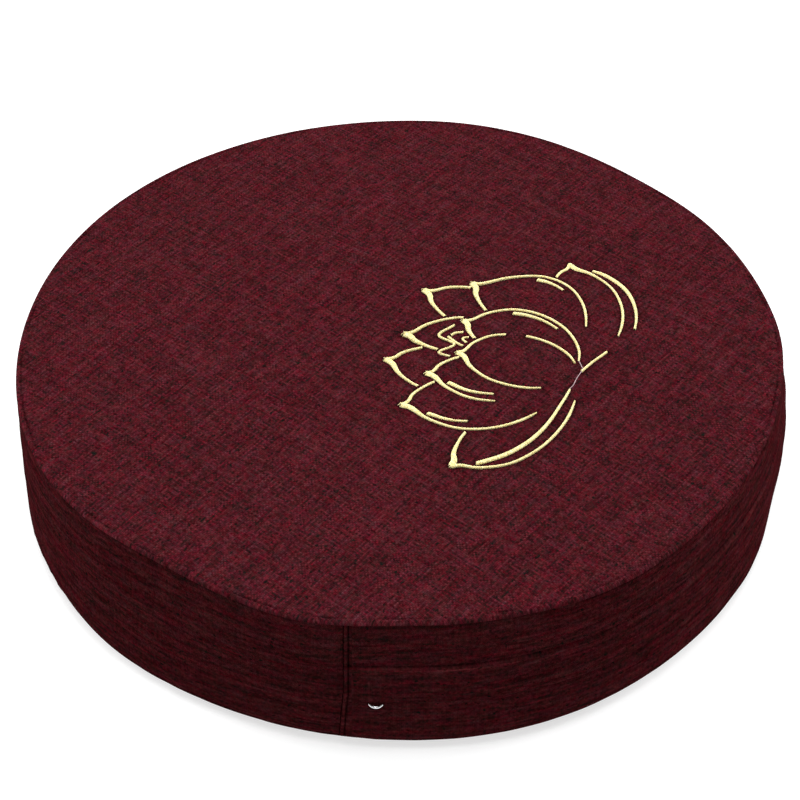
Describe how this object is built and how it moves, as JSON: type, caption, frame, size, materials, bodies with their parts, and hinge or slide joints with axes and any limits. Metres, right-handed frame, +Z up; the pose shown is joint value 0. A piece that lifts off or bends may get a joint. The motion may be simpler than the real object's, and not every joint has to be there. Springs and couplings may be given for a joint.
{
  "type": "round flat meditation cushion",
  "caption": "Round flat meditation cushion: a filled pad with a slight crown in a boxed cover, with a flap over the zip in its band and a lotus outline embroidered on the top.",
  "frame": {"origin": "on the floor, below the middle of the cushion's outline", "axes": "+Z up through the cushion, -Y towards the front, where the upright join seam and the zip pull are, +X to the right"},
  "size_m": [0.4636, 0.4673, 0.095],
  "materials": {
    "melange_cloth": "matt plain weave of wine-red and near-black yarns",
    "gold_thread": "satin-stitched pale gold embroidery thread",
    "pull_metal": "bright zip pull"
  },
  "bodies": {
    "root": {"base_panel": "melange_cloth", "filled_cushion": "melange_cloth", "lotus_fold_02a": "gold_thread", "lotus_fold_03a": "gold_thread", "lotus_fold_04a": "gold_thread", "lotus_fold_05a": "gold_thread", "lotus_fold_06a": "gold_thread", "lotus_fold_07a": "gold_thread", "lotus_petal_01a": "gold_thread", "lotus_petal_01b": "gold_thread", "lotus_petal_02a": "gold_thread", "lotus_petal_03a": "gold_thread", "lotus_petal_04a": "gold_thread", "lotus_petal_05a": "gold_thread", "lotus_petal_06a": "gold_thread", "lotus_petal_07a": "gold_thread", "lotus_petal_08a": "gold_thread", "lotus_petal_09a": "gold_thread", "lotus_petal_10a": "gold_thread", "lotus_stalk": "gold_thread", "lotus_stamens_1a": "gold_thread", "lotus_stamens_2a": "gold_thread", "lotus_stamens_3a": "gold_thread", "lotus_stamens_4a": "gold_thread", "top_panel": "melange_cloth", "zip_pull": "pull_metal", "zip_strip_lower": "melange_cloth", "zip_strip_upper": "melange_cloth"}
  },
  "joints": []
}
